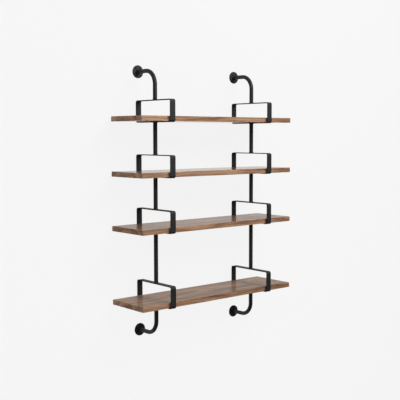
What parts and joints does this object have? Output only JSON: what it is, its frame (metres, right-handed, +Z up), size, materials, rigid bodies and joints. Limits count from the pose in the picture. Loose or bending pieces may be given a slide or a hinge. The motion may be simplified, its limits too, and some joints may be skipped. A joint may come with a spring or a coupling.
{
  "type": "wall shelf",
  "caption": "Wall-hung shelf: walnut boards screwed into flat-bar loops on two round black tube uprights that bend back to round wall discs.",
  "frame": {"origin": "on the wall plane, at the centre of the four wall discs", "axes": "+X along the boards, +Y into the wall, +Z up"},
  "size_m": [0.95, 0.2675, 1.303],
  "materials": {
    "walnut": "oiled, satin, grain along the board",
    "black_steel": "satin black powder coat",
    "black_screws": "black zinc"
  },
  "bodies": {
    "root": {"board_top": "walnut", "board_second": "walnut", "board_third": "walnut", "board_bottom": "walnut", "left_strap_top": "black_steel", "left_strap_second": "black_steel", "left_strap_third": "black_steel", "left_strap_bottom": "black_steel", "left_upper_tube": "black_steel", "left_middle_tube": "black_steel", "left_lower_tube": "black_steel", "left_upper_arm": "black_steel", "left_upper_wall_disc": "black_steel", "left_lower_arm": "black_steel", "left_lower_wall_disc": "black_steel", "right_strap_top": "black_steel", "right_strap_second": "black_steel", "right_strap_third": "black_steel", "right_strap_bottom": "black_steel", "right_upper_tube": "black_steel", "right_middle_tube": "black_steel", "right_lower_tube": "black_steel", "right_upper_arm": "black_steel", "right_upper_wall_disc": "black_steel", "right_lower_arm": "black_steel", "right_lower_wall_disc": "black_steel", "board_screws": "black_screws"}
  },
  "joints": []
}
